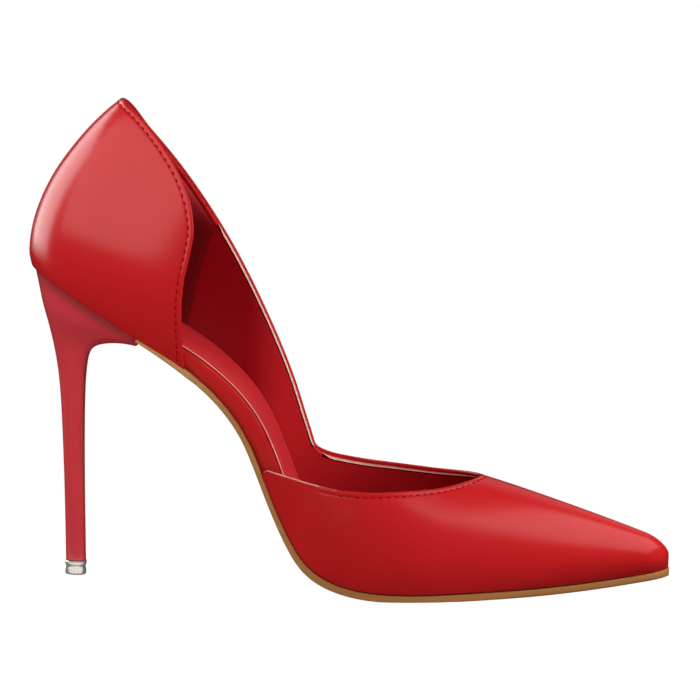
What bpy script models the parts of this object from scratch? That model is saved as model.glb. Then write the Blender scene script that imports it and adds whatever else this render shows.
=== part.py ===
"""Half-cut stiletto pump for the left foot, toe towards +X, the cut-away inner side towards -Y.

The last is one function: a table of slanted sections carries the base line, the plan outline and the
height of the foot, and a short back curve closes the heel. Upper, insole board, sock and outsole are all
read from it, so neighbours keep their clearance. Sizes are in millimetres and become metres in the mesh.
"""

import math

import bmesh
import bpy
import numpy as np

METRE = 0.001
WELD = 1e-6                     # metres
COLLAPSED = 1e-7                # metres, edges shorter than this are dissolved
SHARP_ANGLE = 35                # degrees, edges sharper than this stay crisp

# Upper
WALL = 1.6                      # leather with its lining
CLEARANCE = 0.3                 # between neighbouring pieces
TOE_X = 109.6                   # foremost point
TOE_ROUNDING = 8.0              # length over which the pointed toe rounds off
TOE_BLUNTNESS = 0.5             # share of the toe's height left at its very tip
THROAT_X = 44.7                 # point of the vamp's opening, on the ridge
FLARE = 0.8                     # how fast the wall swells out above the sole, as an exponent
CREST = 1.7                     # squareness of a section towards its side
RIDGE = 1.8                     # squareness of a section towards its ridge
SEAT_DROP = 1.0                 # the heel seat flattens towards the back by this much
BACK_SLANT = 1.7                # insets grow by this factor at the back, where the wall slants

# Insole board and sock
LINING_INSET = WALL + 3 * CLEARANCE     # both lie this far inside the last's skin
BOARD_EDGE = 1.0                # rounding of the board's edges
BOARD_SHOWN_INSET = 1.0         # board inside the skin where the inner side is cut away
SOCK = 1.0                      # thickness
SOCK_EDGE = 0.3                 # rounding
CUTAWAY = (-54.6, -31.0)        # x range in which the inner side is cut away
CUTAWAY_RAMP = 4.0              # length over which the edges there change their inset

# Outsole
OUTSOLE = 2.2                   # thickness at the tread
OUTSOLE_TAIL = 1.6              # thickness from the heel to the waist
OUTSOLE_SKIVE = (-30.0, -8.0)   # x range over which it thickens
OUTSOLE_LEDGE = 0.7             # outside the upper
OUTSOLE_TOE = 0.3               # in front of the upper
OUTSOLE_BEVEL = 0.6             # bevel of the lower edge
OUTSOLE_BEVEL_SHARE = 0.3       # share of the thickness that the bevel takes
OUTSOLE_SHOWN_INSET = 0.4       # inside the skin where the inner side is cut away

# Heel
BREAST_X = -70.6                # where the heel ends and the outsole begins
HEEL_INSET = 0.6                # top of the heel inside the last's skin
STEM_SIDE = 0.8                 # squareness of the stem's sides, as an exponent
STEM_BREAST = 0.6               # squareness of the stem's breast, as an exponent
TIP_PROUD = 0.25                # metal tip outside the heel's end

# Mesh density
HEEL_CUTS = 8                   # columns round the back of the heel
SEAT_CUTS = 4                   # columns from the first section to the breast
ROW_CUTS = 3                    # columns from one section to the next
TOE_CUTS = 6                    # columns round the tip of the toe
THROAT_CUTS = 4                 # columns just behind the point of the throat
THROAT_REACH = 12.0             # length behind that point which gets them
WALL_ROWS = 10                  # rows from the sole to the topline
COUNTER_CUTS = 16               # columns of the inner counter panel
EDGE_SAMPLES = 400              # points along the inner counter's front edge
HEEL_STEPS = 2                  # rings for each row of the heel's table
BREAST_CUTS = 6                 # points across the front of the heel, an even number

# One row for each section, from the widest part of the heel to just past the toe.
# x, z: base line; lean: slant of the section towards the toe, degrees; mid, half: plan outline;
# swell, belly: how far and how high the wall swells; crown: height of the ridge, virtual where open;
# board: height of the insole board.
SECTION_COLUMNS = ("x", "z", "lean", "mid", "half", "swell", "belly", "crown", "board")
SECTIONS = (
    (-84.0, 91.8, 32.0, -1.0, 23.5, 3.8, 20.0, 78.0, 5.4),
    (-70.0, 83.1, 33.0, -0.5, 22.9, 3.6, 18.0, 76.0, 5.6),
    (-57.0, 75.0, 36.0, 0.3, 21.8, 3.2, 16.0, 73.0, 5.9),
    (-45.0, 65.0, 41.0, 0.8, 21.3, 2.8, 14.0, 70.0, 6.4),
    (-34.8, 51.6, 46.0, 0.8, 22.3, 2.6, 12.0, 68.0, 6.9),
    (-27.0, 34.6, 47.0, 0.4, 25.4, 2.7, 11.0, 66.0, 6.8),
    (-20.0, 20.2, 40.0, 0.1, 29.2, 2.9, 10.0, 62.0, 5.8),
    (-12.2, 9.8, 28.0, 0.0, 32.6, 3.0, 9.5, 58.0, 4.6),
    (0.0, 4.1, 13.0, 0.0, 35.2, 3.0, 9.0, 53.0, 3.6),
    (15.0, 2.3, 4.0, 0.0, 35.8, 3.0, 9.0, 46.5, 3.0),
    (32.0, 2.3, 0.0, 0.0, 33.0, 2.9, 8.5, 39.6, 3.0),
    (50.0, 2.8, 0.0, -0.6, 27.2, 2.6, 8.0, 33.8, 3.0),
    (70.0, 3.8, 0.0, -1.6, 19.8, 2.2, 7.0, 26.8, 3.0),
    (90.0, 5.7, 0.0, -2.6, 12.2, 1.8, 5.6, 18.4, 2.8),
    (103.0, 7.4, 0.0, -3.2, 7.5, 1.5, 4.2, 12.2, 2.4),
    (112.0, 8.6, 0.0, -3.4, 5.2, 1.4, 3.4, 7.8, 2.0),
)

# Back of the heel behind the first section: height above the seat, reach backwards.
BACK_CURVE = (
    (0.0, 28.9), (2.6, 31.5), (5.3, 33.2), (9.2, 35.1), (17.2, 37.7),
    (29.1, 39.4), (42.5, 38.9), (57.1, 36.3), (65.0, 33.8),
)

# Outer topline in side view, from the heel's peak to the throat: x, z.
OUTER_TOPLINE = (
    (-86.0, 163.8), (-80.0, 163.4), (-71.0, 152.0), (-57.0, 134.6), (-43.0, 113.6), (-29.0, 87.0),
    (-20.5, 66.5), (-14.5, 48.6), (-11.0, 41.9), (-3.0, 38.9), (10.0, 37.4), (28.0, 37.0),
)

# Inner topline of the vamp in side view, from the sole to the throat: x, z.
VAMP_TOPLINE = (
    (-29.4, 42.0), (-20.9, 40.3), (-12.8, 38.4), (-3.0, 36.6), (10.0, 36.0), (28.0, 36.2),
)

# Front edge of the inner counter in side view, from the sole to the heel's peak: z, x.
COUNTER_EDGE = (
    (74.0, -56.0), (85.0, -56.8), (95.0, -57.1), (104.0, -56.5), (113.0, -54.7), (121.0, -53.6),
    (128.0, -54.4), (138.0, -57.9), (148.0, -64.1), (158.0, -73.0), (163.2, -79.4), (166.0, -83.0),
)
COUNTER_BULGE_Z = 113.0         # the edge's foremost point lies above this

# Heel below its seat, one row for each ring: back and front point in side view, half width,
# and how far its outline has turned from the seat's into the stem's.
HEEL_COLUMNS = ("back_x", "back_z", "front_x", "front_z", "half", "stem")
HEEL_RINGS = (
    (-106.2, 98.2, -72.2, 81.2, 20.6, 0.05),
    (-104.9, 92.6, -77.6, 81.4, 16.6, 0.25),
    (-103.2, 86.8, -84.1, 80.3, 12.4, 0.50),
    (-101.4, 80.0, -88.4, 77.2, 8.8, 0.80),
    (-99.8, 72.0, -89.8, 71.2, 6.4, 1.00),
    (-98.6, 62.0, -90.2, 62.0, 5.0, 1.00),
    (-97.5, 46.0, -90.1, 46.0, 4.2, 1.00),
    (-96.5, 26.0, -89.6, 26.0, 3.7, 1.00),
    (-95.7, 5.0, -88.9, 5.0, 3.4, 1.00),
)

# Metal tip, one row for each ring: height, how far it stands in from its widest outline.
TIP_RINGS = ((4.7, 0.1), (4.3, 0.0), (2.9, 0.35), (0.5, 0.1), (0.0, 0.5))

# Finishes: red, green, blue, roughness, metallic
RED_LEATHER = (0.47, 0.012, 0.014, 0.38, 0.0)
RED_SOCK = (0.42, 0.012, 0.016, 0.45, 0.0)
RED_GLOSS = (0.42, 0.012, 0.020, 0.18, 0.0)
TAN_EDGE = (0.36, 0.20, 0.075, 0.55, 0.0)
POLISHED_METAL = (0.80, 0.76, 0.68, 0.15, 1.0)


# Curves

def second_derivatives(knots, values, start_slope):
    """Second derivatives of a cubic spline, natural at its end and, given a slope, clamped at its start."""
    count = len(knots)
    step = np.diff(knots)
    rise = np.diff(values) / step
    system = np.eye(count)
    right = np.zeros(count)
    for i in range(1, count - 1):
        system[i, i - 1:i + 2] = step[i - 1], 2 * (step[i - 1] + step[i]), step[i]
        right[i] = 6 * (rise[i] - rise[i - 1])
    if start_slope is not None:
        system[0, :2] = 2 * step[0], step[0]
        right[0] = 6 * (rise[0] - start_slope)
    return np.linalg.solve(system, right)


def spline(knots, values, at, start_slope=None):
    """Smooth cubic curve through the values, held at the first and last value beyond them."""
    knots = np.asarray(knots, float)
    values = np.asarray(values, float)
    bend = second_derivatives(knots, values, start_slope)
    inside = np.clip(at, knots[0], knots[-1])
    i = np.clip(np.searchsorted(knots, inside) - 1, 0, len(knots) - 2)
    width = knots[i + 1] - knots[i]
    a = (knots[i + 1] - inside) / width
    b = 1 - a
    cubic = ((a ** 3 - a) * bend[i] + (b ** 3 - b) * bend[i + 1]) * width ** 2 / 6
    return a * values[i] + b * values[i + 1] + cubic


def monotone(rows, at):
    """Curve through (position, value) rows that never overshoots them, held level beyond its ends."""
    knots, values = np.array(rows, float).T
    step = np.diff(knots)
    rise = np.diff(values) / step
    same = rise[:-1] * rise[1:] > 0
    mean = 2 * rise[:-1] * rise[1:] / np.where(same, rise[:-1] + rise[1:], 1.0)
    slope = np.concatenate([rise[:1], np.where(same, mean, 0.0), rise[-1:]])
    inside = np.clip(at, knots[0], knots[-1])
    i = np.clip(np.searchsorted(knots, inside) - 1, 0, len(step) - 1)
    t = (inside - knots[i]) / step[i]
    return (
        (1 + 2 * t) * (1 - t) ** 2 * values[i] + t * (1 - t) ** 2 * step[i] * slope[i]
        + t ** 2 * (3 - 2 * t) * values[i + 1] + t ** 2 * (t - 1) * step[i] * slope[i + 1]
    )


def smoothstep(low, high, at):
    t = np.clip((at - low) / (high - low), 0, 1)
    return t * t * (3 - 2 * t)


# The last. A station is 0 at the back of the heel, 1 at the first section, then one more for each row.

STATION_OF_ROW = np.arange(1, len(SECTIONS) + 1, dtype=float)
SECTION_TABLE = dict(zip(SECTION_COLUMNS, np.array(SECTIONS, float).T))
FIRST_LEAN = math.radians(SECTION_TABLE["lean"][0])
FIRST_STEP = math.dist(SECTIONS[0][:2], SECTIONS[1][:2])
START_SLOPES = {"x": FIRST_STEP * math.cos(FIRST_LEAN), "z": -FIRST_STEP * math.sin(FIRST_LEAN)}


def section(station, column):
    slope = START_SLOPES.get(column, 0.0)
    return spline(STATION_OF_ROW, SECTION_TABLE[column], np.maximum(station, 1.0), slope)


STATION_SAMPLES = np.linspace(1, len(SECTIONS), 1501)
STATION_X = section(STATION_SAMPLES, "x")


def station_at(x):
    """Station whose base line has this x, from the first section on."""
    return np.interp(x, STATION_X, STATION_SAMPLES)


THROAT = station_at(THROAT_X)


def toe_round(station, tip=0.0):
    """1 behind the toe, falling as an ellipse to 0 at its tip, which lies this far behind the upper's."""
    ahead = TOE_X - tip - section(station, "x")
    return np.sqrt(1 - np.clip(1 - ahead / TOE_ROUNDING, 0, 1) ** 2)


def toe_drop(station):
    """Share of the section's height that the rounded toe keeps."""
    return TOE_BLUNTNESS + (1 - TOE_BLUNTNESS) * toe_round(station)


def crown(station):
    return section(station, "crown") * toe_drop(station)


def breadth(station, height):
    """Half width of the last at a height above its base, before the toe rounds off."""
    belly = section(station, "belly") * toe_drop(station)
    swell = section(station, "swell")
    wide = section(station, "half") + swell
    below = np.clip(1 - height / belly, 0, 1)
    flare = wide - swell * (1 - (1 - below ** 2) ** FLARE)
    above = np.clip((height - belly) / (crown(station) - belly), 0, 1)
    return np.where(height < belly, flare, wide * (1 - above ** CREST) ** (1 / RIDGE))


def skin(station, height, side, inset=0.0, tip=0.0):
    """Points of the last's skin as (..., 3): side is -1 inner or +1 outer.

    inset moves them inwards, and tip moves the end of the toe back.
    """
    station, height = np.broadcast_arrays(np.asarray(station, float), np.asarray(height, float))
    turn = np.minimum(station, 1.0) * math.pi / 2
    lean = np.radians(section(station, "lean"))
    half = np.maximum(breadth(station, height) - inset, 0) * toe_round(station, tip)
    reach = (spline(*np.array(BACK_CURVE).T, height) - BACK_SLANT * inset) * np.cos(turn)
    behind = np.cos(turn) * (1 - BACK_SLANT * inset / BACK_CURVE[0][1])
    lift = height - SEAT_DROP * behind ** 2
    x = section(station, "x") + lift * np.sin(lean) - reach * np.cos(lean)
    y = section(station, "mid") + side * half * np.sin(turn)
    z = section(station, "z") + lift * np.cos(lean) + reach * np.sin(lean)
    return np.stack([x, y, z], axis=-1)


def height_where(station, side, outside):
    """Height at which the skin first passes a topline: outside(point) turns from negative to positive."""
    low = np.zeros_like(station)
    high = crown(station)
    for _ in range(40):
        middle = (low + high) / 2
        beyond = outside(skin(station, middle, side)) > 0
        low = np.where(beyond, low, middle)
        high = np.where(beyond, middle, high)
    return high


def vamp_height(station, side, rows):
    """Height of a topline that ends at the throat, and of the closed vamp in front of it."""
    rows = (*rows, (THROAT_X, float(section(THROAT, "z") + crown(THROAT))))
    open_top = height_where(station, side, lambda p: p[..., 2] - monotone(rows, p[..., 0]))
    return np.where(station < THROAT - WELD, open_top, crown(station))


def counter_height(station):
    """Height of the inner counter's front edge."""
    return height_where(station, -1, lambda p: p[..., 0] - monotone(COUNTER_EDGE, p[..., 2]))


def stations(first, tip=0.0):
    """Columns from a station to the tip of the toe, closer together round the heel, throat and toe."""
    round_toe = TOE_X - tip - TOE_ROUNDING
    turns = np.linspace(0, math.pi / 2, TOE_CUTS + 1)
    toe = station_at(round_toe + TOE_ROUNDING * np.sin(turns))
    throat = station_at(THROAT_X - THROAT_REACH * np.linspace(0, 1, THROAT_CUTS) ** 2)
    heel = np.linspace(0, 1, HEEL_CUTS, endpoint=False)
    rows = np.arange(1, toe[0], 1 / ROW_CUTS)
    close = 0.5 / ROW_CUTS
    rows = rows[np.abs(rows[:, None] - throat).min(axis=1) > close]
    rows = rows[rows < toe[0] - close]
    every = np.sort(np.concatenate([heel, rows, throat, toe]))
    return np.concatenate([[first], every[every > first + close / 2]])


def shown(station):
    """1 where the inner side is cut away, 0 under the counter and the vamp."""
    x = section(station, "x")
    start, end = CUTAWAY
    after = smoothstep(start, start + CUTAWAY_RAMP, x)
    before = 1 - smoothstep(end - CUTAWAY_RAMP, end, x)
    return np.where(station < 1, 0.0, after * before)


# Meshes

def material(name, finish):
    made = bpy.data.materials.new(name)
    made.use_nodes = True
    shader = made.node_tree.nodes["Principled BSDF"]
    red, green, blue, roughness, metallic = finish
    shader.inputs["Base Color"].default_value = (red, green, blue, 1)
    shader.inputs["Roughness"].default_value = roughness
    shader.inputs["Metallic"].default_value = metallic
    made.diffuse_color = (red, green, blue, 1)
    return made


def add_patch(mesh, points, flip=False):
    """Adds a grid of points, shaped (columns, rows, 3), as quads."""
    columns, rows = points.shape[:2]
    corner = [[mesh.verts.new(points[i, j] * METRE) for j in range(rows)] for i in range(columns)]
    for i in range(columns - 1):
        for j in range(rows - 1):
            face = [corner[i][j], corner[i + 1][j], corner[i + 1][j + 1], corner[i][j + 1]]
            mesh.faces.new(face[::-1] if flip else face)


def weld(mesh):
    """Joins coinciding points and drops the faces that collapse."""
    bmesh.ops.remove_doubles(mesh, verts=mesh.verts, dist=WELD)
    bmesh.ops.dissolve_degenerate(mesh, edges=mesh.edges, dist=COLLAPSED)


def add_object(name, mesh, look):
    data = bpy.data.meshes.new(name)
    mesh.to_mesh(data)
    mesh.free()
    data.shade_smooth()
    data.set_sharp_from_angle(angle=math.radians(SHARP_ANGLE))
    data.materials.append(look)
    made = bpy.data.objects.new(name, data)
    bpy.context.scene.collection.objects.link(made)
    return made


def loft(name, loops, look, ends=()):
    """Closed solid through loops of equal length, shaped (loops, points, 3).

    Each loop runs out along one side and back along the other, so an end is filled by strips across it.
    An end that narrows to a line needs no filling: the weld closes it.
    """
    mesh = bmesh.new()
    rings = [[mesh.verts.new(point * METRE) for point in loop] for loop in loops]
    for ring, after in zip(rings, rings[1:]):
        for k in range(len(ring)):
            mesh.faces.new([ring[k - 1], ring[k], after[k], after[k - 1]])
    for end in ends:
        ring = rings[end]
        for k in range(len(ring) // 2 - 1):
            mesh.faces.new([ring[k], ring[k + 1], ring[-2 - k], ring[-1 - k]])
    weld(mesh)
    bmesh.ops.recalc_face_normals(mesh, faces=mesh.faces)
    return add_object(name, mesh, look)


# Upper

def counter_panel(peak, share):
    """Inner counter, a four-sided patch between the back, the sole, the front edge and the topline."""
    front = float(station_at(COUNTER_EDGE[0][1]))
    fine = np.linspace(0, front, EDGE_SAMPLES)
    edge = counter_height(fine)
    edge[0] = peak
    edge[-1] = 0.0
    point = skin(fine, edge, -1)
    foremost = fine[np.argmax(np.where(point[:, 2] > COUNTER_BULGE_Z, point[:, 0], -np.inf))]

    def on_edge(station):
        return np.stack([station, np.interp(station, fine, edge)], axis=-1)

    along = np.linspace(0, 1, COUNTER_CUTS + 1)
    u = along[:, None, None]
    v = share[None, :, None]
    sole = np.stack([along * front, np.zeros_like(along)], axis=-1)[:, None]
    topline = on_edge(along * foremost)[:, None]
    back = np.stack([np.zeros_like(share), share * peak], axis=-1)[None]
    front_edge = on_edge(front + (foremost - front) * share)[None]
    corners = (
        (1 - u) * (1 - v) * back[:, :1] + u * (1 - v) * front_edge[:, :1]
        + (1 - u) * v * back[:, -1:] + u * v * front_edge[:, -1:]
    )
    grid = (1 - v) * sole + v * topline + (1 - u) * back + u * front_edge - corners
    return skin(grid[..., 0], grid[..., 1], -1)


def make_upper(look):
    """Vamp, outer quarter and counter as one hollow wall, open at the collar, throat and inner side."""
    even = np.linspace(0, 1, WALL_ROWS + 1)
    share = (even + (1 - np.cos(math.pi * even)) / 2) / 2
    mesh = bmesh.new()

    columns = stations(0.0)
    top = vamp_height(columns, 1, OUTER_TOPLINE)
    add_patch(mesh, skin(columns[:, None], top[:, None] * share, 1), flip=True)
    add_patch(mesh, counter_panel(top[0], share))

    columns = stations(float(station_at(VAMP_TOPLINE[0][0])))
    top = vamp_height(columns, -1, VAMP_TOPLINE)
    top[0] = 0.0
    add_patch(mesh, skin(columns[:, None], top[:, None] * share, -1))

    weld(mesh)
    upper = add_object("upper", mesh, look)
    wall = upper.modifiers.new("wall", "SOLIDIFY")
    wall.thickness = WALL * METRE
    wall.offset = -1


# Insole board, sock and outsole

def slab(columns, rows, tip, inner_extra=0.0):
    """Loops round a slab that follows the last: rows of (height, inset), from the bottom to the top.

    inner_extra is added to the inset on the inner side.
    """
    inner = [skin(columns, height, -1, inset + inner_extra, tip) for height, inset in rows]
    outer = [skin(columns, height, 1, inset, tip) for height, inset in rows]
    return np.stack(inner + outer[::-1], axis=1)


def make_board(look):
    """Covered insole board: fills the last's bottom, and its edge shows on the cut-away side."""
    columns = stations(0.0, LINING_INSET)
    top = section(columns, "board")
    rows = (
        (0.0, LINING_INSET + BOARD_EDGE),
        (0.3 * top, LINING_INSET + 0.2 * BOARD_EDGE),
        (top - BOARD_EDGE, LINING_INSET),
        (top - 0.3 * BOARD_EDGE, LINING_INSET + 0.3 * BOARD_EDGE),
        (top, LINING_INSET + BOARD_EDGE),
    )
    ease = (BOARD_SHOWN_INSET - LINING_INSET) * shown(columns)
    loft("insole_board", slab(columns, rows, LINING_INSET, ease), look)


def make_sock(look):
    """Sock lining on the board."""
    columns = stations(0.0, LINING_INSET)
    low = section(columns, "board") + CLEARANCE
    rows = (
        (low, LINING_INSET),
        (low + SOCK - SOCK_EDGE, LINING_INSET),
        (low + SOCK, LINING_INSET + SOCK_EDGE),
    )
    loft("sock_lining", slab(columns, rows, LINING_INSET), look)


def make_outsole(look):
    """Thin outsole from the heel's breast to the toe, flat where it treads."""
    columns = stations(float(station_at(BREAST_X + CLEARANCE)), -OUTSOLE_TOE)
    skive = smoothstep(*OUTSOLE_SKIVE, section(columns, "x"))
    thick = OUTSOLE_TAIL + (OUTSOLE - OUTSOLE_TAIL) * skive
    rows = (
        (-CLEARANCE - thick, OUTSOLE_BEVEL - OUTSOLE_LEDGE),
        (-CLEARANCE - (1 - OUTSOLE_BEVEL_SHARE) * thick, -OUTSOLE_LEDGE),
        (-CLEARANCE, -OUTSOLE_LEDGE),
    )
    ease = (OUTSOLE_SHOWN_INSET + OUTSOLE_LEDGE) * shown(columns)
    loops = slab(columns, rows, -OUTSOLE_TOE, ease)
    loops[..., 2] = np.maximum(loops[..., 2], 0.0)
    loft("outsole", loops, look, ends=(0,))


# Heel and tip

def seat_sides():
    """Both halves of the heel's outline under the seat, from the back to the breast."""
    front = float(station_at(BREAST_X))
    columns = np.concatenate([np.linspace(0, 1, HEEL_CUTS, endpoint=False), np.linspace(1, front, SEAT_CUTS)])
    return [skin(columns, -CLEARANCE, side, HEEL_INSET) for side in (-1, 1)]


def stem_outline(count):
    """Half outline of the stem, round behind and flat at the breast: shares of its depth and half width."""
    turn = np.linspace(0, math.pi, count)
    ahead = -np.cos(turn)
    depth = np.where(ahead > 0, np.abs(ahead) ** STEM_BREAST, ahead)
    return (1 + depth) / 2, np.sin(turn) ** STEM_SIDE


def heel_rings():
    """The heel's table with rings in between."""
    table = np.array(HEEL_RINGS)
    row = np.arange(len(table))
    fine = np.linspace(0, row[-1], HEEL_STEPS * row[-1] + 1)
    columns = [spline(row, column, fine) for column in table.T]
    return [dict(zip(HEEL_COLUMNS, values)) for values in zip(*columns)]


def heel_loops():
    """Loops from the seat down to the end of the stem."""
    inner, outer = seat_sides()
    back = inner[0]
    front = (inner[-1] + outer[-1]) / 2
    chord = front - back
    across = np.linspace(-1, 1, BREAST_CUTS + 2)[1:-1]
    half_breast = np.abs(across[:BREAST_CUTS // 2])
    side_depth = (inner - back) @ chord / (chord @ chord)
    side_width = np.abs(inner[:, 1] - front[1])
    seat_depth = np.concatenate([side_depth, np.ones_like(half_breast)])
    seat_width = np.concatenate([side_width, half_breast * side_width[-1]]) / side_width.max()
    stem_depth, stem_width = stem_outline(len(seat_depth))

    loops = [np.concatenate([inner, front + across[:, None] * (outer[-1] - front), outer[::-1]])]
    for ring in heel_rings():
        depth = seat_depth + ring["stem"] * (stem_depth - seat_depth)
        width = seat_width + ring["stem"] * (stem_width - seat_width)
        x = ring["back_x"] + depth * (ring["front_x"] - ring["back_x"])
        z = ring["back_z"] + depth * (ring["front_z"] - ring["back_z"])
        halves = [np.stack([x, front[1] + side * ring["half"] * width, z], axis=-1) for side in (-1, 1)]
        loops.append(np.concatenate([halves[0], halves[1][::-1]]))
    return np.stack(loops)


def make_heel(look):
    loft("heel", heel_loops(), look, ends=(0, -1))


def make_heel_tip(look):
    """Metal tip with a slight waist, flat underneath."""
    end = heel_loops()[-1]
    middle = (end.max(axis=0) + end.min(axis=0)) / 2
    outwards = (end - middle)[:, :2]
    length = np.linalg.norm(outwards, axis=1, keepdims=True)
    loops = []
    for height, stands_in in TIP_RINGS:
        outline = middle[:2] + outwards * (1 + (TIP_PROUD - stands_in) / length)
        loops.append(np.column_stack([outline, np.full(len(end), height)]))
    loft("heel_tip", np.stack(loops), look, ends=(0, -1))


def main():
    for old in list(bpy.data.objects):
        bpy.data.objects.remove(old)
    make_upper(material("red_leather", RED_LEATHER))
    make_board(material("red_board_cover", RED_LEATHER))
    make_sock(material("red_sock", RED_SOCK))
    make_outsole(material("tan_outsole", TAN_EDGE))
    make_heel(material("red_heel", RED_GLOSS))
    make_heel_tip(material("polished_metal", POLISHED_METAL))


main()
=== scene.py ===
"""Looks of the half-cut stiletto pump.

Fine meshes are read from the same last as the solids. Sizes are in millimetres and become metres in the
meshes. Toe towards +X, the cut-away inner side towards -Y and the camera.
"""

import math

import bmesh
import bpy
import numpy as np
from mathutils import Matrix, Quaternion, Vector


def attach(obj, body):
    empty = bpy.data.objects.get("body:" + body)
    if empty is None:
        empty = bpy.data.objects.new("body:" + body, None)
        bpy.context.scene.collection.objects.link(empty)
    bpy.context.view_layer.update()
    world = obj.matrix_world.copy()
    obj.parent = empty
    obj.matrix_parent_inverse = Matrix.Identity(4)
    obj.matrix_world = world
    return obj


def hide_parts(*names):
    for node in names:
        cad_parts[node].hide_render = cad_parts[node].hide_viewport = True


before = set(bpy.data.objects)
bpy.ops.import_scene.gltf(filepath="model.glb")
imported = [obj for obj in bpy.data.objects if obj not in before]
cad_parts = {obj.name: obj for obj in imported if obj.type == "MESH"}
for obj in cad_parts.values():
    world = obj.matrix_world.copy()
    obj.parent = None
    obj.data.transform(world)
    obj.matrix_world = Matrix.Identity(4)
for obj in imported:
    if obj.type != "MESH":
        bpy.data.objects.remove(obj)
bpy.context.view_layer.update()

METRE = 0.001
WELD = 1e-6                     # metres
COLLAPSED = 1e-7                # metres, shorter edges are dissolved
NUDGE = 1e-4                    # step over which slopes are measured
FLAT = 1e-9                     # shortest normal that has a direction

# Upper, as in the part
WALL = 1.6                      # leather with its lining
CLEARANCE = 0.3                 # between neighbouring solids
TOE_X = 109.6                   # foremost point
TOE_ROUNDING = 8.0              # length over which the pointed toe rounds off
TOE_BLUNTNESS = 0.5             # share of the toe's height left at its very tip
THROAT_X = 44.7                 # point of the vamp's opening, on the ridge
FLARE = 0.8                     # how fast the wall swells out above the sole, as an exponent
CREST = 1.7                     # squareness of a section towards its side
RIDGE = 1.8                     # squareness of a section towards its ridge
SEAT_DROP = 1.0                 # the heel seat flattens towards the back by this much
BACK_SLANT = 1.7                # insets grow by this factor at the back, where the wall slants

# Places on the last
BELLY_GIRTH = 0.8               # share of the girth from the ridge to the widest point
HEEL_RUN = 3.7                  # half round the back of the heel, in steps as long as between sections

# Insole board, as in the part, and sock, which reaches further out than in the part
LINING_INSET = WALL + 3 * CLEARANCE     # board inside the last's skin
BOARD_EDGE = 1.0                # rounding of its edges
BOARD_TURN = (0.3, 0.2)         # shares of its height and of its edge at which its side turns up
BOARD_SHOWN_INSET = 1.0         # board inside the skin in the cut-away
SOCK = 1.0                      # thickness
SOCK_EDGE = 0.35                # rounding of the sock's upper edge
SOCK_INSET = WALL + 0.45        # sock inside the skin
SOCK_SHOWN_INSET = 1.6          # the same in the cut-away
CUTAWAY = (-54.6, -31.0)        # x range in which the inner side is cut away
CUTAWAY_RAMP = 4.0              # length over which the edges there change their inset

# Side of the sock, from a slit on the board up: height above its underside, inset, the face that ends there
SOCK_SIDE = (
    (-0.25, 0.4, "sock"), (0.02, 0.3, "sock"), (0.1, 0.0, "sock"), (0.45, 0.0, "raw"),
)

# Outsole, as in the part but for its upper edge and its end, which meet the upper and the heel
OUTSOLE = 2.2                   # thickness at the tread
OUTSOLE_TAIL = 1.6              # thickness from the heel to the waist
OUTSOLE_SKIVE = (-30.0, -8.0)   # x range over which it thickens
OUTSOLE_LEDGE = 0.7             # outside the upper
OUTSOLE_TOE = 0.3               # in front of the upper
OUTSOLE_BEVEL = 0.6             # bevel of the lower edge
OUTSOLE_BEVEL_SHARE = 0.3       # share of the thickness that the bevel takes
OUTSOLE_SHOWN_INSET = 0.4       # inside the skin in the cut-away
OUTSOLE_GAP = 0.05              # between it and the upper
OUTSOLE_RIM = 0.15              # chamfer along its upper edge
OUTSOLE_TUCK = 1.4              # length of its end inside the heel
OUTSOLE_END = 0.7               # thickness there
OUTSOLE_END_RUN = 20.0          # length over which it thins out

# Heel, as in the part but for its upper edge, which meets the upper
BREAST_X = -70.6                # where the heel ends and the outsole shows
HEEL_INSET = 0.8                # top of the heel inside the last's skin
HEEL_GAP = 0.05                 # between it and the upper
HEEL_SHARP = 50                 # degrees, edges sharper than this stay crisp
STEM_SIDE = 0.8                 # squareness of the stem's sides, as an exponent
STEM_BREAST = 0.6               # squareness of the stem's breast, as an exponent
TIP_PROUD = 0.25                # metal tip outside the heel's end

# Sewn edges
EDGE_BAND = 4.0                 # width of the band that follows the edge
CORNER_SHARE = 0.8              # most of the wall's height that it takes at the vamp's corner
CORNER_PLAIN = (20.0, 24.0)     # from the vamp's corner, where the groove begins and is full
PEAK_PLAIN = (1.0, 5.0)         # from the peak, likewise
CREST_HIGHLIGHT_ENDS = (21.0, 27.0)       # from the vamp's corner, where the painted highlight on the crest's outer and upper strip ends
BEND = (-12.5, -8.5)            # X of the outer topline's bend
BEND_RAW = (1.0, 4.5)           # from the bend, where the lining's raw edge begins and is full
SEAM_RAW = (0.0, 5.0)           # from the heel grip's seam, likewise
RAW_LEAST = 0.02                # share of the raw edge's width that counts as none
STITCH_INSIDE = 2.0             # stitch row from the edge
STITCH_DEPTH = -0.2             # the row's path, on the bottom of the groove
STITCH_PITCH = 2.7
STITCH_LENGTH = 1.5
STITCH_RISE = 0.12              # of a stitch above the path
STITCH_DIP = 0.18               # of its ends below its middle
STITCH_ENDS = 4                 # how late it dips and tapers, as an exponent
THREAD_RADIUS = 0.28
THREAD_FLAT = (1.2, 0.8)        # factors of the radius across and up
GRIP_DEPTH = (1.62, 1.95)       # heel grip, from the leather's outer face
GRIP_INSIDE = 2.3               # heel grip from the edge
GRIP_SEAM = np.array([2.8, 1.95])       # station of its front seam, at the sole and at the topline
GRIP_INNER_END = 2.4            # station at which it ends on the inner side
GRIP_SOLE_GIRTH = 0.97          # girth at its foot

# Colour ramps: the span over which a colour changes, in X, in Z on the grip, and across the heel's seat. On
# the lining, the grip and the heel these ramps are painted light and shade.
LINING_SHADE_SPAN = (-37.0, -20.0)
OUTSOLE_DYE = (-55.0, -35.0)
GRIP_SHADE_SPAN = (117.0, 137.0)
SEAT_AXIS = (0.512, 0.0, 0.859)
HEEL_SEAT_SHADE_SPAN = (31.5, 36.0)
RAMP_DRIFT = 0.15                # share of the span by which the change wanders

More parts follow.
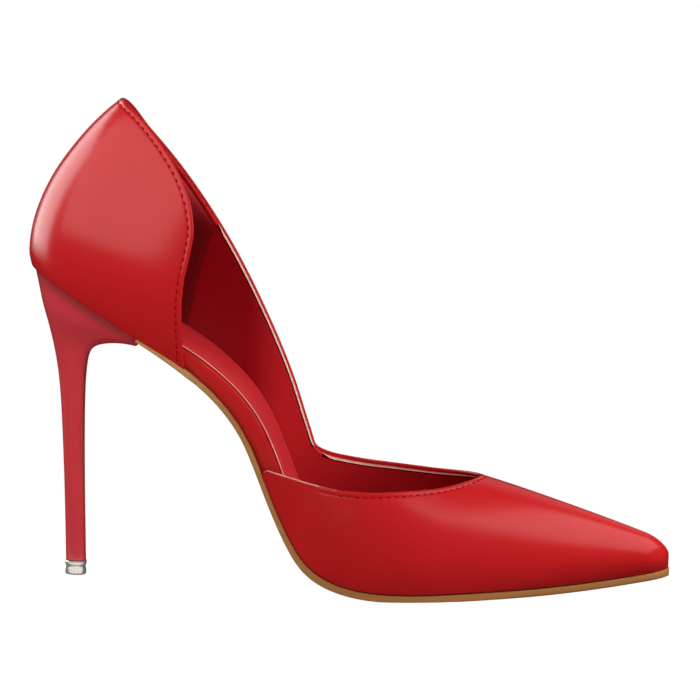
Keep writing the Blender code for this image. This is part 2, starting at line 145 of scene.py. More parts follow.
# Unevenness of a colour, and leather grain
SLOW_DRIFT = 40                 # waves in a metre
METAL_DRIFT = 200
FINE_DRIFT = 300
DRIFT_DETAIL = 3                # octaves of finer waves
DRIFT_SPAN = (0.3, 0.7)         # of the noise, between its dark and its light colour
GRAIN = 0.12                    # strength
GRAIN_CELL = 0.0007             # metres
GRAIN_DEPTH = 0.00006           # metres
GRAIN_SMOOTHNESS = 0.6

# Mesh density
EDGE_STEP = 1.2                 # between columns along the topline
WALL_ROWS = 30                  # from the sole to the edge band
RIDGE_STEP = 1.5                # between columns along the vamp's ridge
TOE_CUTS = 16                   # columns round the tip of the toe
SLAB_STEP = 1.5                 # between columns along board, sock and outsole
HEEL_CUTS = 28                  # columns round the back of the heel
SEAT_CUTS = 14                  # columns from the first section to the breast
HEEL_STEPS = 8                  # rings for each row of the heel's table
BREAST_CUTS = 14                # points across the front of the heel, an even number
ROUND_CUTS = 5                  # points on a rounded edge
STITCH_CUTS = 9                 # rings along a stitch
THREAD_CUTS = 8                 # points round it
GRIP_COLUMNS = 60
GRIP_ROWS = 24
DENSE = 2000                    # samples of a curve before it is spaced evenly
BISECTIONS = 40                 # halvings that find a topline on the last

# Sections of the last, as in the part, from the widest part of the heel to just past the toe.
# x, z: base line; lean: slant of the section towards the toe, degrees; mid, half: plan outline;
# swell, belly: how far and how high the wall swells; crown: height of the ridge, virtual where open;
# board: height of the insole board.
SECTION_COLUMNS = ("x", "z", "lean", "mid", "half", "swell", "belly", "crown", "board")
SECTIONS = (
    (-84.0, 91.8, 32.0, -1.0, 23.5, 3.8, 20.0, 78.0, 5.4),
    (-70.0, 83.1, 33.0, -0.5, 22.9, 3.6, 18.0, 76.0, 5.6),
    (-57.0, 75.0, 36.0, 0.3, 21.8, 3.2, 16.0, 73.0, 5.9),
    (-45.0, 65.0, 41.0, 0.8, 21.3, 2.8, 14.0, 70.0, 6.4),
    (-34.8, 51.6, 46.0, 0.8, 22.3, 2.6, 12.0, 68.0, 6.9),
    (-27.0, 34.6, 47.0, 0.4, 25.4, 2.7, 11.0, 66.0, 6.8),
    (-20.0, 20.2, 40.0, 0.1, 29.2, 2.9, 10.0, 62.0, 5.8),
    (-12.2, 9.8, 28.0, 0.0, 32.6, 3.0, 9.5, 58.0, 4.6),
    (0.0, 4.1, 13.0, 0.0, 35.2, 3.0, 9.0, 53.0, 3.6),
    (15.0, 2.3, 4.0, 0.0, 35.8, 3.0, 9.0, 46.5, 3.0),
    (32.0, 2.3, 0.0, 0.0, 33.0, 2.9, 8.5, 39.6, 3.0),
    (50.0, 2.8, 0.0, -0.6, 27.2, 2.6, 8.0, 33.8, 3.0),
    (70.0, 3.8, 0.0, -1.6, 19.8, 2.2, 7.0, 26.8, 3.0),
    (90.0, 5.7, 0.0, -2.6, 12.2, 1.8, 5.6, 18.4, 2.8),
    (103.0, 7.4, 0.0, -3.2, 7.5, 1.5, 4.2, 12.2, 2.4),
    (112.0, 8.6, 0.0, -3.4, 5.2, 1.4, 3.4, 7.8, 2.0),
)

# Back of the heel behind the first section, as in the part: height above the seat, reach backwards.
BACK_CURVE = (
    (0.0, 28.9), (2.6, 31.5), (5.3, 33.2), (9.2, 35.1), (17.2, 37.7),
    (29.1, 39.4), (42.5, 38.9), (57.1, 36.3), (65.0, 33.8),
)

# Toplines in side view, the outer one within 0.7 mm of the part's, the others as in the part: x, z of the
# outer side and of the vamp, z, x of the inner counter's front.
OUTER_TOPLINE = (
    (-86.0, 163.8), (-80.4, 163.4), (-70.5, 152.0), (-56.6, 134.6), (-42.6, 113.6), (-28.6, 87.0),
    (-19.8, 66.5), (-13.8, 48.6), (-11.3, 41.9), (-3.0, 38.9), (10.0, 37.4), (28.0, 37.0),
)
VAMP_TOPLINE = (
    (-29.4, 42.0), (-20.9, 40.3), (-12.8, 38.4), (-3.0, 36.6), (10.0, 36.0), (28.0, 36.2),
)
COUNTER_EDGE = (
    (74.0, -56.0), (85.0, -56.8), (95.0, -57.1), (104.0, -56.5), (113.0, -54.7), (121.0, -53.6),
    (128.0, -54.4), (138.0, -57.9), (148.0, -64.1), (158.0, -73.0), (163.2, -79.4), (166.0, -83.0),
)

# Heel below its seat, a little more hollow on top than in the part, one row for each ring: back and front
# point in side view, half width, and how far its outline has turned from the seat's into the stem's.
HEEL_COLUMNS = ("back_x", "back_z", "front_x", "front_z", "half", "stem")
HEEL_RINGS = (
    (-106.2, 98.2, -72.2, 81.2, 19.2, 0.05),
    (-104.9, 92.6, -77.6, 81.4, 16.6, 0.25),
    (-103.2, 86.8, -84.1, 80.3, 12.4, 0.50),
    (-101.4, 80.0, -88.4, 77.2, 8.8, 0.80),
    (-99.8, 72.0, -89.8, 71.2, 6.4, 1.00),
    (-98.6, 62.0, -90.2, 62.0, 5.0, 1.00),
    (-97.5, 46.0, -90.1, 46.0, 4.2, 1.00),
    (-96.5, 26.0, -89.6, 26.0, 3.7, 1.00),
    (-95.7, 5.0, -88.9, 5.0, 3.4, 1.00),
)

# Metal tip, rounder than in the part, one row for each ring: height, inset from its widest outline.
TIP_RINGS = (
    (4.7, 0.3), (4.6, 0.08), (4.3, 0.0), (3.4, 0.1), (2.9, 0.35), (2.4, 0.3),
    (0.6, 0.08), (0.25, 0.15), (0.05, 0.35), (0.0, 0.5),
)

# Section across the topline, from the leather's outer face over the fold to the lining: distance from the
# edge, the same on the outer quarter, height above the skin, and the face that ends at that row.
# The crest faces are a painted highlight where they show.
EDGE_SECTION = (
    (3.1, 3.1, 0.0, "leather"), (2.6, 2.6, 0.0, "leather"), (2.3, 2.3, -0.06, "leather"),
    (2.0, 2.0, -0.2, "leather"), (1.7, 1.7, -0.04, "leather"), (1.3, 1.3, 0.04, "leather"),
    (0.8, 0.8, 0.05, "leather"), (0.4, 0.4, 0.0, "leather"), (0.12, 0.12, -0.2, "crest"),
    (0.0, 0.0, -0.52, "crest"), (0.12, 0.08, -0.8, "leather"), (0.4, 0.25, -0.98, "leather"),
    (0.9, 0.48, -1.06, "leather"), (1.2, 0.64, -1.1, "leather"), (1.24, 0.67, -1.22, "leather"),
    # the groove faces are a painted shadow
    (1.3, 0.7, -1.14, "raw"), (2.2, 1.28, -1.42, "raw"), (2.24, 1.32, -1.7, "groove"),
    (2.48, 1.64, -1.7, "groove"), (2.54, 1.7, -1.52, "lining"), (2.7, 1.95, -1.6, "lining"),
    (3.1, 3.1, -1.6, "lining"),
)
SEWN_ROWS = 8                   # its first rows, which the stitches draw in
RAW_ROW = 16                    # its row at the raw edge's lower end
BANDS = ("leather", "raw", "lining", "groove", "crest")

# Camera
TARGET = (-0.81, 0.0, 79.47)
DISTANCE = 1400.0
ELEVATION = 8.0                 # degrees
ROLL = 1.6                      # degrees, the toe lower in the picture
SENSOR = 36.0
FOCAL = 212.4

# Stage. A light aims at a point of the shoe. turn, from the camera's side towards the toe, rise and roll are
# in degrees, glow is a share of white, and lit names the kinds of reflection that it shows in.
FLOOR_HALF = 30.0               # metres
MATT = ("diffuse",)
GLOSS = ("glossy",)
LIGHT_COLUMNS = ("name", "aim", "turn", "rise", "distance", "size", "glow", "roll", "lit")
LIGHTS = (
    ("counter_card", (-60, -23, 134), -30, 30, 80, (195, 116), 1.5, -10.6, MATT + GLOSS),
    ("back_strip", (-100, 0, 130), -115, 20, 500, (440, 460), 4.2, 0, MATT + GLOSS),
    ("vamp_card", (84, -8, 14), 90, 55, 200, (195, 145), 1.5, -12, MATT + GLOSS),
    ("toe_fill", (80, -5, 25), 90, 50, 220, (240, 200), 4.6, 0, MATT),
    ("floor_bounce", (-170, -50, 0), 0, -90, 2, (300, 300), 0.5, 0, MATT),
    ("floor_front", (60, -110, 0), 0, -90, 2, (240, 160), 0.4, 0, MATT),
    ("tip_card", (-92, -2, 0.5), -3, 0, 10, (110, 7), 1.0, 0, GLOSS),
    ("front", (0, 0, 80), 10, 5, 1200, (800, 600), 4.3, 0, MATT),
    ("front_high", (0, 0, 80), 0, 38, 1200, (900, 400), 0.6, 0, MATT),
    ("rear", (0, 0, 80), 180, 30, 1200, (1200, 600), 0.3, 0, MATT + GLOSS),
)


# Curves

def second_derivatives(knots, values, start_slope):
    """Second derivatives of a cubic spline, natural at its end and, given a slope, clamped at its start."""
    count = len(knots)
    step = np.diff(knots)
    rise = np.diff(values) / step
    system = np.eye(count)
    right = np.zeros(count)
    for i in range(1, count - 1):
        system[i, i - 1:i + 2] = step[i - 1], 2 * (step[i - 1] + step[i]), step[i]
        right[i] = 6 * (rise[i] - rise[i - 1])
    if start_slope is not None:
        system[0, :2] = 2 * step[0], step[0]
        right[0] = 6 * (rise[0] - start_slope)
    return np.linalg.solve(system, right)


def spline(knots, values, at, start_slope=None):
    """Smooth cubic curve through the values, held at the first and last value beyond them."""
    knots = np.asarray(knots, float)
    values = np.asarray(values, float)
    bend = second_derivatives(knots, values, start_slope)
    inside = np.clip(at, knots[0], knots[-1])
    i = np.clip(np.searchsorted(knots, inside) - 1, 0, len(knots) - 2)
    width = knots[i + 1] - knots[i]
    a = (knots[i + 1] - inside) / width
    b = 1 - a
    cubic = ((a ** 3 - a) * bend[i] + (b ** 3 - b) * bend[i + 1]) * width ** 2 / 6
    return a * values[i] + b * values[i + 1] + cubic


def monotone(rows, at):
    """Curve through (position, value) rows that never overshoots them, held level beyond its ends."""
    knots, values = np.array(rows, float).T
    step = np.diff(knots)
    rise = np.diff(values) / step
    same = rise[:-1] * rise[1:] > 0
    mean = 2 * rise[:-1] * rise[1:] / np.where(same, rise[:-1] + rise[1:], 1.0)
    slope = np.concatenate([rise[:1], np.where(same, mean, 0.0), rise[-1:]])
    inside = np.clip(at, knots[0], knots[-1])
    i = np.clip(np.searchsorted(knots, inside) - 1, 0, len(step) - 1)
    t = (inside - knots[i]) / step[i]
    return (
        (1 + 2 * t) * (1 - t) ** 2 * values[i] + t * (1 - t) ** 2 * step[i] * slope[i]
        + t ** 2 * (3 - 2 * t) * values[i + 1] + t ** 2 * (t - 1) * step[i] * slope[i + 1]
    )


def smoothstep(low, high, at):
    t = np.clip((at - low) / (high - low), 0, 1)
    return t * t * (3 - 2 * t)


def lengths(points):
    """Length along a line of points, from 0 at the first."""
    return np.concatenate([[0.0], np.cumsum(np.linalg.norm(np.diff(points, axis=0), axis=1))])


# The last. A station is 0 at the back of the heel, 1 at the first section, then one more for each row.

STATION_OF_ROW = np.arange(1, len(SECTIONS) + 1, dtype=float)
SECTION_TABLE = dict(zip(SECTION_COLUMNS, np.array(SECTIONS, float).T))
FIRST_LEAN = math.radians(SECTION_TABLE["lean"][0])
FIRST_STEP = math.dist(SECTIONS[0][:2], SECTIONS[1][:2])
START_SLOPES = {"x": FIRST_STEP * math.cos(FIRST_LEAN), "z": -FIRST_STEP * math.sin(FIRST_LEAN)}


def section(station, column):
    slope = START_SLOPES.get(column, 0.0)
    return spline(STATION_OF_ROW, SECTION_TABLE[column], np.maximum(station, 1.0), slope)


STATION_SAMPLES = np.linspace(1, len(SECTIONS), DENSE)
STATION_X = section(STATION_SAMPLES, "x")


def station_at(x):
    """Station whose base line has this x, from the first section on."""
    return np.interp(x, STATION_X, STATION_SAMPLES)


THROAT = float(station_at(THROAT_X))


def toe_round(station, tip=0.0):
    """1 behind the toe, falling as an ellipse to 0 at its tip, which lies this far behind the upper's."""
    ahead = TOE_X - tip - section(station, "x")
    return np.sqrt(1 - np.clip(1 - ahead / TOE_ROUNDING, 0, 1) ** 2)


def toe_drop(station):
    """Share of the section's height that the rounded toe keeps."""
    return TOE_BLUNTNESS + (1 - TOE_BLUNTNESS) * toe_round(station)


def belly(station):
    return section(station, "belly") * toe_drop(station)


def crown(station):
    return section(station, "crown") * toe_drop(station)


def breadth(station, height):
    """Half width of the last at a height above its base, before the toe rounds off."""
    swell = section(station, "swell")
    wide = section(station, "half") + swell
    widest = belly(station)
    below = np.clip(1 - height / widest, 0, 1)
    flare = wide - swell * (1 - (1 - below ** 2) ** FLARE)
    above = np.clip((height - widest) / (crown(station) - widest), 0, 1)
    return np.where(height < widest, flare, wide * (1 - above ** CREST) ** (1 / RIDGE))


def skin(station, height, side, inset=0.0, tip=0.0):
    """Points of the last's skin as (..., 3): side is -1 inner or +1 outer.

    inset moves them inwards, and tip moves the end of the toe back.
    """
    station, height = np.broadcast_arrays(np.asarray(station, float), np.asarray(height, float))
    turn = np.minimum(station, 1.0) * math.pi / 2
    lean = np.radians(section(station, "lean"))
    half = np.maximum(breadth(station, height) - inset, 0) * toe_round(station, tip)
    reach = (spline(*np.array(BACK_CURVE).T, height) - BACK_SLANT * inset) * np.cos(turn)
    behind = np.cos(turn) * (1 - BACK_SLANT * inset / BACK_CURVE[0][1])
    lift = height - SEAT_DROP * behind ** 2
    x = section(station, "x") + lift * np.sin(lean) - reach * np.cos(lean)
    y = section(station, "mid") + side * half * np.sin(turn)
    z = section(station, "z") + lift * np.cos(lean) + reach * np.sin(lean)
    return np.stack([x, y, z], axis=-1)


def run_of(station):
    """Run of a station: as a station, but stretched round the back of the heel to keep its pace."""
    return np.where(station < 1, station * HEEL_RUN, station + HEEL_RUN - 1)


def station_of(run):
    return np.where(run < HEEL_RUN, run / HEEL_RUN, run - HEEL_RUN + 1)


def wrap(place):
    """Points of the last at places (run, girth) as (..., 3).

    Girth is -1 at the inner edge of the sole, 0 on the ridge and 1 at the outer edge. A negative run
    is a place on the other side of the heel.
    """
    station = station_of(np.abs(place[..., 0]))
    girth = np.where(place[..., 0] < 0, -place[..., 1], place[..., 1])
    angle = np.clip(np.abs(girth) / BELLY_GIRTH, 0, 1) * math.pi / 2
    below = np.clip((np.abs(girth) - BELLY_GIRTH) / (1 - BELLY_GIRTH), 0, 1)
    low = belly(station)
    height = low * (1 - below) + (crown(station) - low) * np.cos(angle) ** (2 / CREST)
    return skin(station, height, np.where(girth < 0, -1.0, 1.0))


def slopes(place):
    """Slopes of the last along run and along girth, and its outward normal, at places."""
    ahead = np.array([NUDGE, 0.0])
    aside = np.array([0.0, NUDGE])
    along = (wrap(place + ahead) - wrap(place - ahead)) / (2 * NUDGE)
    around = (wrap(place + aside) - wrap(place - aside)) / (2 * NUDGE)
    normal = np.cross(along, around)
    size = np.maximum(np.linalg.norm(normal, axis=-1, keepdims=True), FLAT)
    return along, around, normal / size


def shown(station):
    """1 where the inner side is cut away, 0 under the counter and the vamp."""
    x = section(station, "x")
    start, end = CUTAWAY
    after = smoothstep(start, start + CUTAWAY_RAMP, x)
    before = 1 - smoothstep(end - CUTAWAY_RAMP, end, x)
    return np.where(station < 1, 0.0, after * before)


# Meshes

def piece(name, mesh, looks, slot, *stands_for):
    """Object from a bmesh, riding on the shoe, with its looks as material slots."""
    bmesh.ops.remove_doubles(mesh, verts=mesh.verts, dist=WELD)
    bmesh.ops.dissolve_degenerate(mesh, edges=mesh.edges, dist=COLLAPSED)
    bmesh.ops.recalc_face_normals(mesh, faces=mesh.faces)
    data = bpy.data.meshes.new(name)
    mesh.to_mesh(data)
    mesh.free()
    data.shade_smooth()
    for look in looks:
        data.materials.append(look)
    made = bpy.data.objects.new(name, data)
    bpy.context.scene.collection.objects.link(made)
    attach(made, "root")
    if stands_for:
        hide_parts(*stands_for)
    return made


def add_loft(mesh, loops, bands=0, ends=()):
    """Adds a surface through closed loops, shaped (loops, points, 3).

    bands is the look of the face that ends at each point: one for all, for a loop, or for each face.
    An end is filled by strips across it, from the loop's first half to its second.
    """
    rings = [[mesh.verts.new(point * METRE) for point in loop] for loop in loops]
    count = len(rings[0])
    looks = np.broadcast_to(bands, (len(rings) - 1, count))
    for i, (ring, after) in enumerate(zip(rings, rings[1:])):
        for k in range(count):
            face = mesh.faces.new([ring[k - 1], ring[k], after[k], after[k - 1]])
            face.material_index = int(looks[i, k])
    for end in ends:
        ring = rings[end]
        half = count // 2
        for k in range(half - 1):
            mesh.faces.new([ring[k], ring[k + 1], ring[-2 - k], ring[-1 - k]])
        if count % 2:
            mesh.faces.new(ring[half - 1:half + 2])


def round_over(radius):
    """Quarter circle as (up, in) steps from the end of a side to the start of a top."""
    turn = np.linspace(0, math.pi / 2, ROUND_CUTS)
    return [(radius * math.sin(t), radius * (1 - math.cos(t))) for t in turn]


# Topline: places along its three stretches, and the sewn edge

def top_girth(run, side, outside):
    """Girth at which the last first passes a topline on the way up from the sole."""
    ridge = np.zeros_like(run)
    sole = np.ones_like(run)
    for _ in range(BISECTIONS):
        middle = (ridge + sole) / 2
        beyond = outside(wrap(np.stack([run, side * middle], axis=-1))) > 0
        ridge = np.where(beyond, middle, ridge)
        sole = np.where(beyond, sole, middle)
    return side * sole


def even_places(run, girth):
    """Places along a line, spaced evenly."""
    places = np.stack([run, girth], axis=-1)
    length = lengths(wrap(places))
    at = np.linspace(0, length[-1], int(round(length[-1] / EDGE_STEP)) + 1)
    return np.stack([np.interp(at, length, places[:, i]) for i in range(2)], axis=-1)


def throat_places(first, side, rows):
    """Places along a topline from a station to the throat, closer together towards its end."""
    rows = (*rows, (THROAT_X, float(section(THROAT, "z") + crown(THROAT))))
    closing = 1 - (1 - np.linspace(0, 1, DENSE)) ** 2
    run = run_of(first) + (run_of(THROAT) - run_of(first)) * closing
    girth = top_girth(run, side, lambda p: p[..., 2] - monotone(rows, p[..., 0]))
    girth[-1] = 0.0
    return run, girth


def counter_places(peak_girth):
    """Places along the inner counter's front edge, from the sole up to the peak."""
    front = run_of(station_at(COUNTER_EDGE[0][1]))
    run = np.linspace(-front, 0, DENSE)
    girth = top_girth(run, 1, lambda p: p[..., 0] - monotone(COUNTER_EDGE, p[..., 2]))
    girth[0] = 1.0
    girth[-1] = peak_girth
    return run, girth


class Topline:
    """Sewn edge from the inner counter's foot over the peak and the throat to the vamp's inner corner."""

    def __init__(self):
        outer = even_places(*throat_places(0.0, 1, OUTER_TOPLINE))
        counter = even_places(*counter_places(outer[0, 1]))
        run, girth = throat_places(station_at(VAMP_TOPLINE[0][0]), -1, VAMP_TOPLINE)
        girth[0] = -1.0
        vamp = even_places(run, girth)[::-1]
        self.places = np.concatenate([counter[:-1], outer, vamp[1:]])
        self.peak = len(counter) - 1
        self.throat = self.peak + len(outer) - 1
        self.vamp_side = np.arange(len(self.places)) > self.throat
        points = wrap(self.places)
        self.set_frame(points)
        self.set_finish(points)

    def set_frame(self, points):
        """Normal, way inwards, width and inner border of the band along the edge."""
        along, around, self.normal = slopes(self.places)
        tangent = np.gradient(points, axis=0)
        outwards = np.cross(tangent, self.normal)
        outwards /= np.linalg.norm(outwards, axis=1, keepdims=True)
        slope = np.stack([along, around], axis=-1)
        self.inwards = np.einsum("kij,kj->ki", np.linalg.pinv(slope), -outwards)
        feet = np.stack([self.places[:, 0], -np.ones(len(points))], axis=-1)
        above = np.linalg.norm(points - wrap(feet), axis=1)
        self.narrow = np.where(self.vamp_side, np.minimum(1, CORNER_SHARE * above / EDGE_BAND), 1.0)
        self.band = self.inside(EDGE_BAND)
        self.band[self.peak, 0] = 0.0

    def set_finish(self, points):
        """Where the edge is sewn, where it is the outer quarter's, and where the lining's raw edge shows."""
        run = lengths(points)
        self.from_corner = run[-1] - run
        from_peak = np.abs(run - run[self.peak])
        self.sewn = smoothstep(*CORNER_PLAIN, self.from_corner) * smoothstep(*PEAK_PLAIN, from_peak)
        self.last_stitch = int(np.argmax(self.from_corner < CORNER_PLAIN[1]))
        self.quarter = np.where(self.vamp_side, 0.0, 1 - smoothstep(*BEND, points[:, 0]))
        mid_bend = np.argmax(self.quarter < 0.5)
        from_bend = np.abs(run - run[mid_bend])
        seam = self.peak + np.argmax(self.places[self.peak:, 0] > run_of(GRIP_SEAM[1]))
        self.raw = smoothstep(*BEND_RAW, from_bend) * smoothstep(*SEAM_RAW, run - run[seam])

    def inside(self, distance):
        """Places at this distance from the edge."""
        places = self.places + self.inwards * (distance * self.narrow)[:, None]
        places[:, 1] = np.clip(places[:, 1], -1, 1)
        return places

    def rows(self, distance, height):
        """Points at this distance from the edge and height above the skin, one or one for each place."""
        places = self.inside(distance)
        return wrap(places) + np.broadcast_to(height, len(places))[:, None] * slopes(places)[2]


def wall_loops(topline, stretch, feet):
    """Loops across the upper's wall: up its outer face, over the sewn edge, and down its lining."""
    up = np.linspace(0, 1, WALL_ROWS + 1)[None, :, None]
    top = topline.band[stretch]
    places = feet[:, None] + up * (top - feet)[:, None]
    outer = wrap(places)
    inner = outer - WALL * slopes(places)[2]
    edge = []
    before = 0.0
    for row, (distance, on_quarter, height, _) in enumerate(EDGE_SECTION):
        sewn = topline.sewn if row < SEWN_ROWS else 1.0
        inside = distance + topline.quarter * (on_quarter - distance)
        if row == RAW_ROW:
            inside = before + topline.raw * (inside - before)
        edge.append(topline.rows(inside, height * sewn)[stretch])
        before = inside
    return np.concatenate([outer, np.stack(edge, axis=1), inner[:, ::-1]], axis=1)


def toe_loops(topline):
    """Loops across the closed vamp, from the throat to the tip: over its leather, back along its lining."""
    up = np.linspace(0, 1, WALL_ROWS + 1)[None, :, None]
    start = topline.band[topline.throat]
    first = float(section(station_of(start[0]), "x"))
    round_toe = TOE_X - TOE_ROUNDING
    straight = np.linspace(first, round_toe, int((round_toe - first) / RIDGE_STEP), endpoint=False)[1:]
    turns = np.linspace(0, math.pi / 2, TOE_CUTS + 1)
    runs = run_of(station_at(np.concatenate([straight, round_toe + TOE_ROUNDING * np.sin(turns)])))
    ridge = np.concatenate([[start], np.stack([runs, np.zeros_like(runs)], axis=-1)])
    halves = []
    for side in (1, -1):
        foot = np.stack([ridge[:, 0], np.full(len(ridge), side)], axis=-1)
        halves.append(foot[:, None] + up * (ridge - foot)[:, None])
    places = np.concatenate([halves[0], halves[1][:, -2::-1]], axis=1)
    normal = slopes(places)[2]
    normal[-1] = (1.0, 0.0, 0.0)
    outer = wrap(places)
    inner = outer - WALL * normal
    return np.concatenate([outer, inner[:, ::-1]], axis=1)


def make_upper(topline, looks):
    """Leather and lining as one closed wall: inner counter, outer quarter, inner vamp and toe."""
    mesh = bmesh.new()
    leather, raw, lining, groove, crest = range(len(BANDS))
    rows = WALL_ROWS + 1
    edge = [BANDS.index(band) for *_, band in EDGE_SECTION]
    crested = np.array([leather] * rows + edge + [lining] * rows)
    crest_ends = np.zeros(len(crested))
    crest_ends[crested == crest] = CREST_HIGHLIGHT_ENDS
    bands = np.where(crested == crest, leather, crested)
    hidden = np.where(bands == raw, lining, bands)
    hidden = np.where(bands == groove, leather, hidden)

    counter = slice(0, topline.peak + 1)
    apex = np.tile([0.0, 1.0], (topline.peak + 1, 1))
    add_loft(mesh, wall_loops(topline, counter, apex), hidden, ends=(0,))

    quarter = slice(topline.peak, topline.throat + 1)
    run = topline.band[quarter, 0]
    feet = np.stack([run, np.ones_like(run)], axis=-1)
    covered = topline.raw[quarter][1:, None] < RAW_LEAST
    add_loft(mesh, wall_loops(topline, quarter, feet), np.where(covered, hidden, bands))

    vamp = slice(topline.throat, None)
    run = topline.band[vamp, 0]
    feet = np.stack([run, -np.ones_like(run)], axis=-1)
    # Near the vamp's corner the crest faces take a painted highlight.
    pale = topline.from_corner[vamp][1:, None] < crest_ends
    add_loft(mesh, wall_loops(topline, vamp, feet), np.where(pale, crested, bands), ends=(-1,))

    toe = toe_loops(topline)
    half = toe.shape[1] // 2
    add_loft(mesh, toe, [leather] * half + [lining] * half)
    piece("upper_wall", mesh, looks, "upper_leather", "upper")


def make_heel_grip(topline, look):
    """Heel grip sewn inside the counter, its front edge showing as a seam on the outer side."""
    edge = topline.inside(GRIP_INSIDE)[:topline.throat]
    share = np.linspace(0, 1, GRIP_ROWS)
    u = np.linspace(0, 1, GRIP_COLUMNS)[:, None]
    seam = run_of(GRIP_SEAM[0] + (GRIP_SEAM[1] - GRIP_SEAM[0]) * share)
    inner_end = run_of(GRIP_INNER_END)
    run = u * (seam + inner_end) - inner_end
    top = np.interp(run, edge[:, 0], edge[:, 1])
    girth = GRIP_SOLE_GIRTH + share * (top - GRIP_SOLE_GIRTH)
    places = np.stack([run, girth], axis=-1)
    points = wrap(places)
    normal = slopes(places)[2]
    outer = points - GRIP_DEPTH[0] * normal
    inner = points - GRIP_DEPTH[1] * normal
    mesh = bmesh.new()
    add_loft(mesh, np.concatenate([outer, inner[:, ::-1]], axis=1), ends=(0, -1))
    piece("heel_grip", mesh, [look], "upper_leather")


def make_stitches(topline, name, stretch, look):
    """Row of stitches along a stretch of the topline, each a flat thread that dips in at its ends."""
    path = topline.rows(STITCH_INSIDE, STITCH_DEPTH)[stretch]
    normal = topline.normal[stretch]
    length = lengths(path)
    centres = np.arange(STITCH_PITCH, length[-1] - STITCH_PITCH, STITCH_PITCH)
    along = np.linspace(-1, 1, STITCH_CUTS)
    turn = np.linspace(0, 2 * math.pi, THREAD_CUTS, endpoint=False)
    thick = THREAD_RADIUS * np.sqrt(np.clip(1 - along ** STITCH_ENDS, 0, 1))
    wide, high = THREAD_FLAT
    mesh = bmesh.new()
    for centre in centres:
        at = centre + along * STITCH_LENGTH / 2
        spine = np.stack([np.interp(at, length, path[:, i]) for i in range(3)], axis=-1)
        up = np.stack([np.interp(at, length, normal[:, i]) for i in range(3)], axis=-1)
        across = np.cross(np.gradient(spine, axis=0), up)
        across /= np.linalg.norm(across, axis=1, keepdims=True)
        spine = spine + up * (STITCH_RISE - STITCH_DIP * along[:, None] ** STITCH_ENDS)
        ring = (
            across[:, None] * np.cos(turn)[None, :, None] * wide
            + up[:, None] * np.sin(turn)[None, :, None] * high
        )
        add_loft(mesh, spine[:, None] + ring * thick[:, None, None])
    piece(name, mesh, [look], "upper_leather")


# Insole board, sock and outsole

def slab_columns(first, tip=0.0):
    """Stations from the first one to the tip of the toe."""
    round_toe = TOE_X - tip - TOE_ROUNDING
    turns = np.linspace(0, math.pi / 2, TOE_CUTS + 1)
    toe = station_at(round_toe + TOE_ROUNDING * np.sin(turns))
    dense = np.linspace(first, toe[0], DENSE)
    run = lengths(skin(dense, 0.0, 1))
    even = np.interp(np.arange(0, run[-1] - SLAB_STEP / 2, SLAB_STEP), run, dense)
    return np.concatenate([even, toe])


def slab(columns, rows, tip, inner_extra=0.0):
    """Loops round a slab on the last, from rows of (height, inset), with extra inset on the inner side."""
    inner = [skin(columns, height, -1, inset + inner_extra, tip) for height, inset in rows]
    outer = [skin(columns, height, 1, inset, tip) for height, inset in rows]
    return np.stack(inner + outer[::-1], axis=1)


def make_board(look):
    """Covered insole board, its rounded edge showing on the cut-away side."""
    columns = slab_columns(0.0, LINING_INSET)
    top = section(columns, "board")
    turn_height, turn_edge = BOARD_TURN
    rows = [(0.0, LINING_INSET + BOARD_EDGE), (turn_height * top, LINING_INSET + turn_edge * BOARD_EDGE)]
    rows += [(top - BOARD_EDGE + up, LINING_INSET + inwards) for up, inwards in round_over(BOARD_EDGE)]
    ease = (BOARD_SHOWN_INSET - LINING_INSET) * shown(columns)
    mesh = bmesh.new()
    add_loft(mesh, slab(columns, rows, LINING_INSET, ease))
    piece("board_cover", mesh, [look], "board_cover", "insole_board")


def make_sock(sock, raw):
    """Sock lining on the board, its raw edge pale on the cut-away side."""
    columns = slab_columns(0.0, LINING_INSET)
    low = section(columns, "board") + CLEARANCE
    rows = [(low + up, SOCK_INSET + inwards) for up, inwards, _ in SOCK_SIDE]
    rows += [
        (low + SOCK - SOCK_EDGE + up, SOCK_INSET + inwards) for up, inwards in round_over(SOCK_EDGE)
    ]
    loops = slab(columns, rows, LINING_INSET, (SOCK_SHOWN_INSET - SOCK_INSET) * shown(columns))
    bands = np.zeros(loops.shape[1], int)
    bands[:len(SOCK_SIDE)] = [band == "raw" for *_, band in SOCK_SIDE]
    mesh = bmesh.new()
    add_loft(mesh, loops, bands)
    piece("sock", mesh, [sock, raw], "sock_leather", "sock_lining")


def make_outsole(look):
    """Thin outsole from the heel's breast to the toe, flat where it treads."""
    start = BREAST_X - OUTSOLE_TUCK
    columns = slab_columns(float(station_at(start)), -OUTSOLE_TOE)
    x = section(columns, "x")
    thick = OUTSOLE_TAIL + (OUTSOLE - OUTSOLE_TAIL) * smoothstep(*OUTSOLE_SKIVE, x)
    thick = OUTSOLE_END + (thick - OUTSOLE_END) * smoothstep(start, start + OUTSOLE_END_RUN, x)
    bevel = OUTSOLE_BEVEL_SHARE * thick
    turn = np.linspace(0, math.pi / 2, ROUND_CUTS)
    rows = [
        (-CLEARANCE - thick + bevel * (1 - math.cos(t)), OUTSOLE_BEVEL * (1 - math.sin(t)) - OUTSOLE_LEDGE)
        for t in turn
    ]
    rows += [(-OUTSOLE_GAP - OUTSOLE_RIM, -OUTSOLE_LEDGE), (-OUTSOLE_GAP, OUTSOLE_RIM - OUTSOLE_LEDGE)]
    ease = (OUTSOLE_SHOWN_INSET + OUTSOLE_LEDGE) * shown(columns)
    loops = slab(columns, rows, -OUTSOLE_TOE, ease)
    loops[..., 2] = np.maximum(loops[..., 2], 0.0)
    mesh = bmesh.new()
    add_loft(mesh, loops, ends=(0,))
    piece("sole_leather", mesh, [look], "outsole_leather", "outsole")


# Heel and tip

